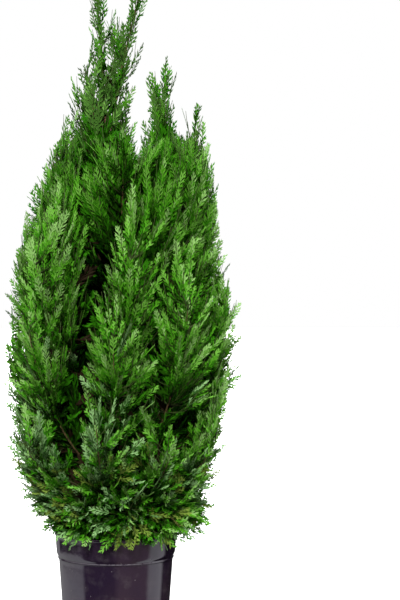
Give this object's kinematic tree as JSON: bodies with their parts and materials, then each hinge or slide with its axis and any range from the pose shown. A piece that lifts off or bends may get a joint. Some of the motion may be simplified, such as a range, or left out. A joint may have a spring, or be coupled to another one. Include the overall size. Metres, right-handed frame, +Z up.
{
  "type": "potted lawson cypress",
  "caption": "Feathery lawson cypress with several pointed leaders and a dense egg-shaped crown, growing in a round black-purple plastic nursery pot.",
  "frame": {"origin": "middle of the pot's flat underside, at the surface it stands on", "axes": "+Z up along the pot's axis, -Y towards the viewer of the picture, +X to that viewer's right"},
  "size_m": [0.4442, 0.4282, 1.2003],
  "materials": {
    "pot_plastic": "glossy moulded plastic, black with a purple cast",
    "compost": "moist crumbly potting compost",
    "bark": "red-brown fibrous bark",
    "foliage": "matt scale leaves in flat sprays, fresh green",
    "foliage_deep": "matt scale leaves in flat sprays, deep bluish green"
  },
  "bodies": {
    "root": {"pot": "pot_plastic", "compost": "compost", "trunk": "bark", "leader_fork": "bark", "leader_second": "bark", "leader_third": "bark", "leader_back": "bark", "foliage_skirt_1": "foliage_deep", "foliage_skirt_2": "foliage_deep", "foliage_skirt_3": "foliage_deep", "foliage_skirt_4": "foliage_deep", "foliage_skirt_5": "foliage_deep", "foliage_skirt_6": "foliage_deep", "foliage_skirt_7": "foliage_deep", "foliage_skirt_8": "foliage_deep", "foliage_skirt_9": "foliage_deep", "foliage_low_1": "foliage_deep", "foliage_low_2": "foliage_deep", "foliage_low_3": "foliage_deep", "foliage_low_4": "foliage_deep", "foliage_low_5": "foliage_deep", "foliage_low_6": "foliage_deep", "foliage_low_7": "foliage_deep", "foliage_low_8": "foliage_deep", "foliage_low_9": "foliage_deep", "foliage_middle_1": "foliage", "foliage_middle_2": "foliage", "foliage_middle_3": "foliage", "foliage_middle_4": "foliage", "foliage_middle_5": "foliage", "foliage_middle_6": "foliage", "foliage_middle_7": "foliage", "foliage_middle_8": "foliage", "foliage_shoulder_1": "foliage", "foliage_shoulder_2": "foliage", "foliage_shoulder_3": "foliage", "foliage_shoulder_4": "foliage", "foliage_shoulder_5": "foliage", "foliage_shoulder_6": "foliage", "foliage_upper_1": "foliage", "foliage_upper_2": "foliage", "foliage_top_1": "foliage", "foliage_top_2": "foliage", "foliage_top_3": "foliage", "foliage_trunk_tip": "foliage", "foliage_fork_tip": "foliage", "foliage_second_tip": "foliage", "foliage_third_tip": "foliage", "foliage_back_tip": "foliage", "foliage_second_side_1": "foliage", "foliage_second_side_2": "foliage", "foliage_third_side_1": "foliage", "foliage_third_side_2": "foliage", "foliage_back_side_1": "foliage", "foliage_back_side_2": "foliage"}
  },
  "joints": []
}
